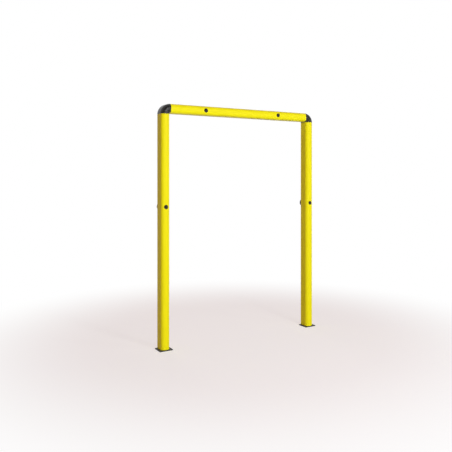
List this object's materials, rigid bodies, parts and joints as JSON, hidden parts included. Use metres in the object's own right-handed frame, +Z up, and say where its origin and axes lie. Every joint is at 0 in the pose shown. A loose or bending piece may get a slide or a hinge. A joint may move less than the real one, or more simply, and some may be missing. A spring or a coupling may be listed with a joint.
{
  "type": "door frame guard",
  "caption": "Yellow polymer impact frame that stands round a doorway, with black bent corners, floor plates and capped wall fixings.",
  "frame": {"origin": "on the floor, at the middle of the frame's width and depth", "axes": "+X along the wall to the right as seen from the front, +Y into the wall, +Z up"},
  "size_m": [1.785, 0.1394, 2.25],
  "materials": {
    "yellow_plastic": "satin yellow polymer, coloured through",
    "black_plastic": "satin black moulded polymer",
    "black_paint": "black powder coat on steel",
    "zinc": "zinc plated steel"
  },
  "bodies": {
    "root": {"left_post": "yellow_plastic", "right_post": "yellow_plastic", "top_beam": "yellow_plastic", "left_corner": "black_plastic", "right_corner": "black_plastic", "left_floor_plate": "black_paint", "left_front_floor_anchor": "zinc", "left_front_anchor_washer": "zinc", "left_back_floor_anchor": "zinc", "left_back_anchor_washer": "zinc", "left_post_spacer": "black_plastic", "left_post_washer": "zinc", "left_post_bolt": "zinc", "left_post_cap": "black_plastic", "left_beam_spacer": "black_plastic", "left_beam_washer": "zinc", "left_beam_bolt": "zinc", "left_beam_cap": "black_plastic", "right_floor_plate": "black_paint", "right_front_floor_anchor": "zinc", "right_front_anchor_washer": "zinc", "right_back_floor_anchor": "zinc", "right_back_anchor_washer": "zinc", "right_post_spacer": "black_plastic", "right_post_washer": "zinc", "right_post_bolt": "zinc", "right_post_cap": "black_plastic", "right_beam_spacer": "black_plastic", "right_beam_washer": "zinc", "right_beam_bolt": "zinc", "right_beam_cap": "black_plastic"}
  },
  "joints": []
}
